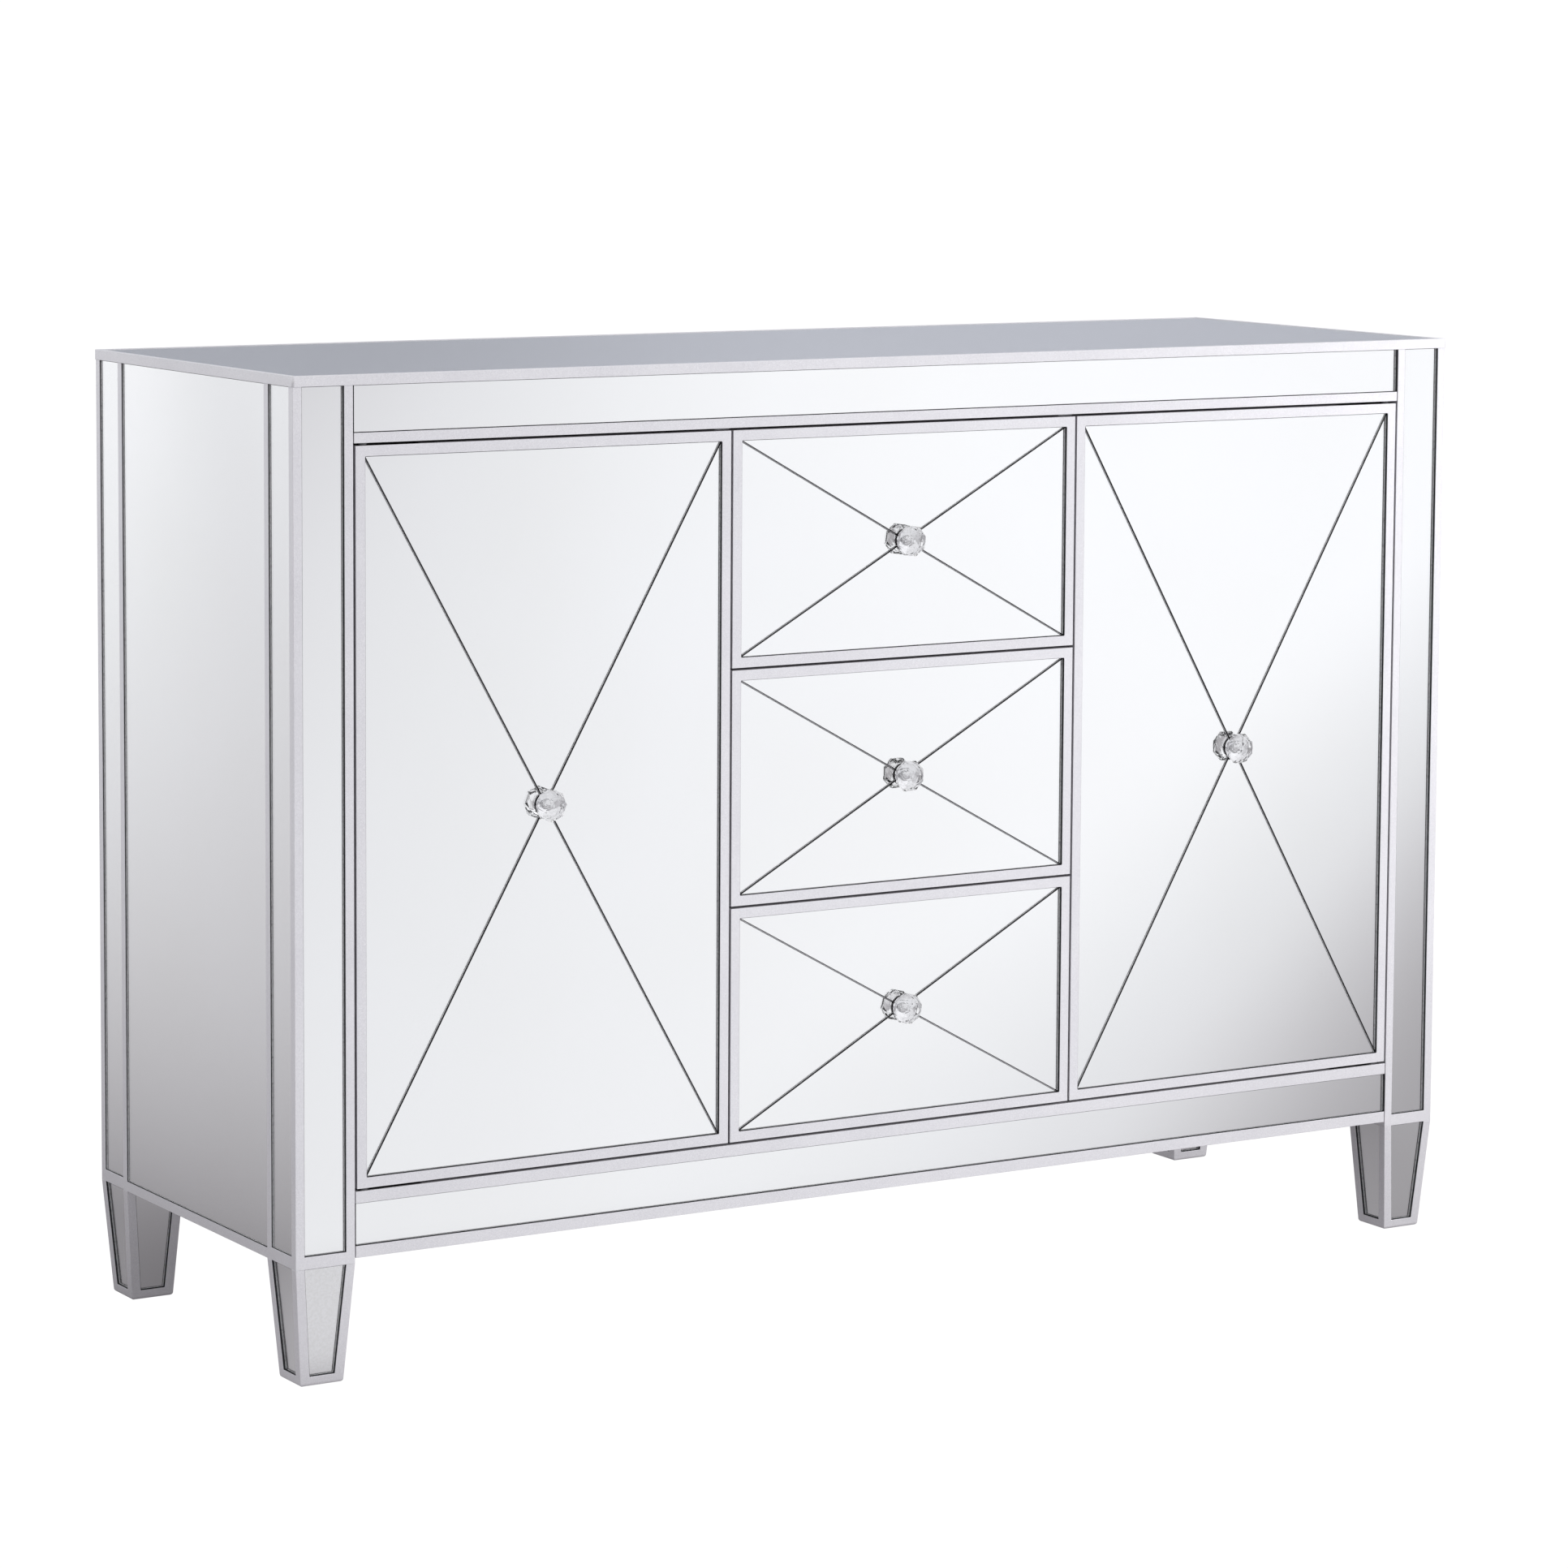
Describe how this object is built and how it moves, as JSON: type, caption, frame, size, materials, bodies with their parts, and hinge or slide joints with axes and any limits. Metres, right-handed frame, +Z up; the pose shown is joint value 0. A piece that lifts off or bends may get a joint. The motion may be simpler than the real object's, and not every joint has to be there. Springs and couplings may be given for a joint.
{
  "type": "mirrored sideboard",
  "caption": "Low free-standing storage cabinet faced with framed mirror glass, with hinged cupboard doors either side of a stack of drawers, faceted glass knobs and tapered feet.",
  "frame": {"origin": "on the floor, in the middle of the overall width and of the overall depth with the knobs", "axes": "+X to the viewer's right along the front, +Y from the front to the back, +Z up; the doors and drawers face -Y"},
  "size_m": [1.22, 0.423, 0.864],
  "materials": {
    "silver_paint": "fine metallic silver paint, satin",
    "mirror_glass": "clear silvered glass, ground edges",
    "crystal": "clear faceted glass",
    "knob_metal": "dark nickel",
    "zinc_steel": "zinc plated",
    "slide_steel": "zinc plated",
    "ball_steel": "bright steel",
    "hinge_steel": "nickel plated",
    "dark_plastic": "fine matt",
    "hardboard": "smooth brown hardboard",
    "drawer_ply": "plain plywood, clear lacquer",
    "inner_board": "grey-silver paint, matt"
  },
  "bodies": {
    "carcass": {"top_board": "silver_paint", "top_mirror": "mirror_glass", "front_posts": "silver_paint", "back_posts": "silver_paint", "post_mirrors": "mirror_glass", "feet": "silver_paint", "foot_mirrors": "mirror_glass", "foot_bolts": "zinc_steel", "floor_glides": "dark_plastic", "apron_rail": "silver_paint", "apron_mirror": "mirror_glass", "low_rail": "silver_paint", "low_rail_mirror": "mirror_glass", "side_panels": "silver_paint", "side_mirrors": "mirror_glass", "back_panel": "hardboard", "back_screws": "zinc_steel", "back_rails": "inner_board", "bottom_board": "inner_board", "dividers": "inner_board", "shelves": "inner_board", "shelf_pins": "zinc_steel", "hinge_plates": "hinge_steel", "door_catches": "dark_plastic", "cabinet_slides": "slide_steel"},
    "door_left": {"door_left_frame": "silver_paint", "door_left_mirrors": "mirror_glass", "door_left_knob": "crystal", "door_left_knob_mount": "knob_metal", "door_left_hardware": "hinge_steel"},
    "door_right": {"door_right_frame": "silver_paint", "door_right_mirrors": "mirror_glass", "door_right_knob": "crystal", "door_right_knob_mount": "knob_metal", "door_right_hardware": "hinge_steel"},
    "drawer_low": {"drawer_low_front": "silver_paint", "drawer_low_mirrors": "mirror_glass", "drawer_low_knob": "crystal", "drawer_low_knob_mount": "knob_metal", "drawer_low_box": "inner_board", "drawer_low_bottom": "drawer_ply", "drawer_low_slides": "slide_steel"},
    "drawer_mid": {"drawer_mid_front": "silver_paint", "drawer_mid_mirrors": "mirror_glass", "drawer_mid_knob": "crystal", "drawer_mid_knob_mount": "knob_metal", "drawer_mid_box": "inner_board", "drawer_mid_bottom": "drawer_ply", "drawer_mid_slides": "slide_steel"},
    "drawer_top": {"drawer_top_front": "silver_paint", "drawer_top_mirrors": "mirror_glass", "drawer_top_knob": "crystal", "drawer_top_knob_mount": "knob_metal", "drawer_top_box": "inner_board", "drawer_top_bottom": "drawer_ply", "drawer_top_slides": "slide_steel"},
    "cages_low": {"drawer_low_ball_cages": "ball_steel"},
    "cages_mid": {"drawer_mid_ball_cages": "ball_steel"},
    "cages_top": {"drawer_top_ball_cages": "ball_steel"}
  },
  "joints": [
    {"name": "door_left_hinge", "type": "hinge", "parent": "carcass", "child": "door_left", "pos_m": [-0.5418, -0.1875, 0.48635], "axis": [0, 0, -1], "range_deg": [0, 105]},
    {"name": "door_right_hinge", "type": "hinge", "parent": "carcass", "child": "door_right", "pos_m": [0.5418, -0.1875, 0.48635], "axis": [0, 0, 1], "range_deg": [0, 105]},
    {"name": "drawer_low_slide", "type": "slide", "parent": "carcass", "child": "drawer_low", "axis": [0, -1, 0], "range_m": [0, 0.26]},
    {"name": "drawer_mid_slide", "type": "slide", "parent": "carcass", "child": "drawer_mid", "axis": [0, -1, 0], "range_m": [0, 0.26]},
    {"name": "drawer_top_slide", "type": "slide", "parent": "carcass", "child": "drawer_top", "axis": [0, -1, 0], "range_m": [0, 0.26]},
    {"name": "cages_low_slide", "type": "slide", "parent": "carcass", "child": "cages_low", "axis": [0, -1, 0], "range_m": [0, 0.13]},
    {"name": "cages_mid_slide", "type": "slide", "parent": "carcass", "child": "cages_mid", "axis": [0, -1, 0], "range_m": [0, 0.13]},
    {"name": "cages_top_slide", "type": "slide", "parent": "carcass", "child": "cages_top", "axis": [0, -1, 0], "range_m": [0, 0.13]}
  ],
  "couplings": [
    {"joint": "cages_low_slide", "follows": "drawer_low_slide", "ratio": 0.5},
    {"joint": "cages_mid_slide", "follows": "drawer_mid_slide", "ratio": 0.5},
    {"joint": "cages_top_slide", "follows": "drawer_top_slide", "ratio": 0.5}
  ]
}
